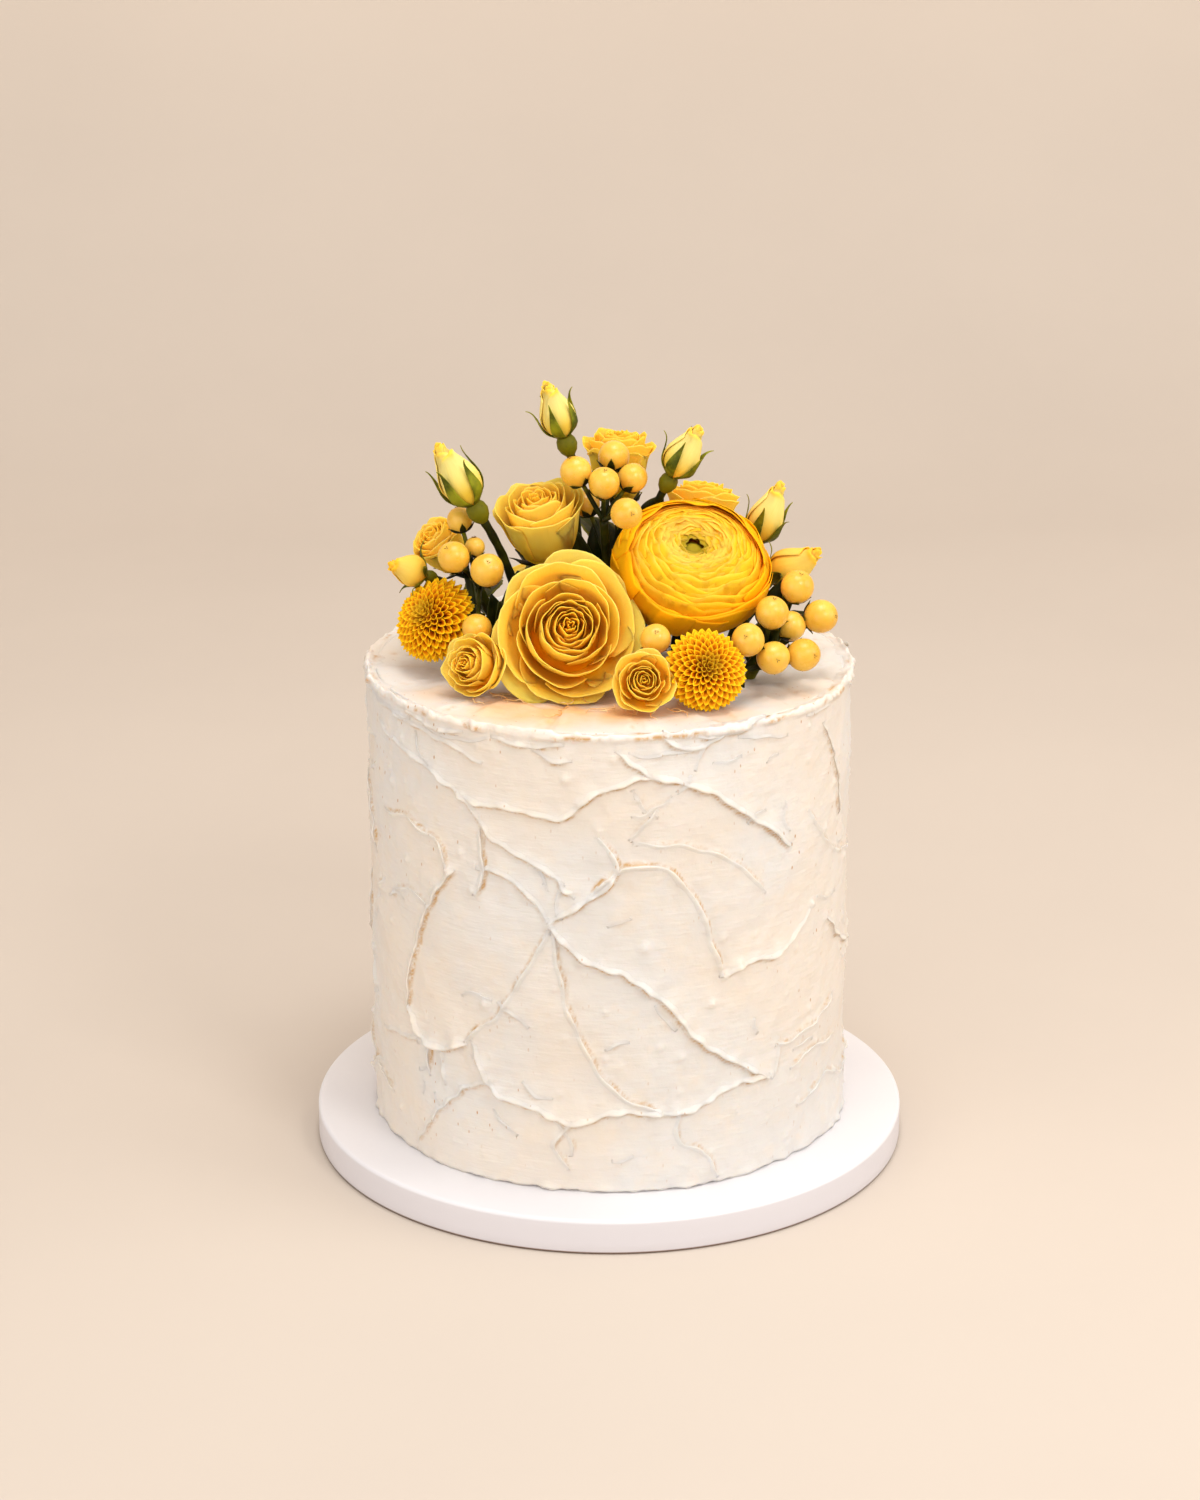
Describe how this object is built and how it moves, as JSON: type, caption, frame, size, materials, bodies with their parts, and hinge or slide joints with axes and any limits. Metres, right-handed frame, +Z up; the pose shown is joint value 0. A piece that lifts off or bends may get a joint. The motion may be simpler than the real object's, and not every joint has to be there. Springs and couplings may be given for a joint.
{
  "type": "single tier wedding cake",
  "caption": "Tall round cake iced in cream-white palette-knife buttercream on a round white board, with fresh yellow roses, a ranunculus, buds, pompon daisies and berries on top.",
  "frame": {"origin": "centre of the board's underside, on the surface the cake stands on", "axes": "+Z up; -Y is the front, where the two small roses and the large open rose look; +X is to the right seen from the front"},
  "size_m": [0.2032, 0.2032, 0.2626],
  "materials": {
    "board_card": "smooth white paper over card, satin",
    "icing": "soft buttercream with palette-knife ridges",
    "rose_petal": "velvety petal, paler at the rims",
    "ranunculus_petal": "thin silky petal",
    "daisy_petal": "narrow scooped florets",
    "bud_petal": "closed petals, pale at the base",
    "berry_skin": "smooth skin with a soft sheen",
    "green_stem": "leafy green, satin"
  },
  "bodies": {
    "root": {"berry_01": "berry_skin", "berry_02": "berry_skin", "berry_03": "berry_skin", "berry_04": "berry_skin", "berry_05": "berry_skin", "berry_06": "berry_skin", "berry_07": "berry_skin", "berry_08": "berry_skin", "berry_09": "berry_skin", "berry_10": "berry_skin", "berry_11": "berry_skin", "berry_12": "berry_skin", "berry_13": "berry_skin", "berry_14": "berry_skin", "berry_15": "berry_skin", "berry_16": "berry_skin", "berry_17": "berry_skin", "berry_18": "berry_skin", "berry_19": "berry_skin", "berry_stalk_front": "green_stem", "berry_stalk_left": "green_stem", "berry_stalk_middle": "green_stem", "berry_stalk_right": "green_stem", "board": "board_card", "bud_a": "bud_petal", "bud_a_calyx": "green_stem", "bud_b": "bud_petal", "bud_b_calyx": "green_stem", "bud_c": "bud_petal", "bud_c_calyx": "green_stem", "bud_d": "bud_petal", "bud_d_calyx": "green_stem", "bud_e": "bud_petal", "bud_e_calyx": "green_stem", "bud_f": "bud_petal", "bud_f_calyx": "green_stem", "cake": "icing", "daisy_left": "daisy_petal", "daisy_left_stem": "green_stem", "daisy_right": "daisy_petal", "leaf_back": "green_stem", "leaf_left": "green_stem", "leaf_middle": "green_stem", "leaf_right": "green_stem", "ranunculus": "ranunculus_petal", "ranunculus_stem": "green_stem", "rose_back_left": "rose_petal", "rose_back_left_stem": "green_stem", "rose_back_right": "rose_petal", "rose_back_right_stem": "green_stem", "rose_far_left": "rose_petal", "rose_far_left_stem": "green_stem", "rose_front": "rose_petal", "rose_front_stem": "green_stem", "rose_top": "rose_petal", "rose_top_stem": "green_stem", "spray_rose_back_left": "rose_petal", "spray_rose_back_right": "rose_petal", "spray_rose_left": "rose_petal", "spray_rose_right": "rose_petal"}
  },
  "joints": []
}
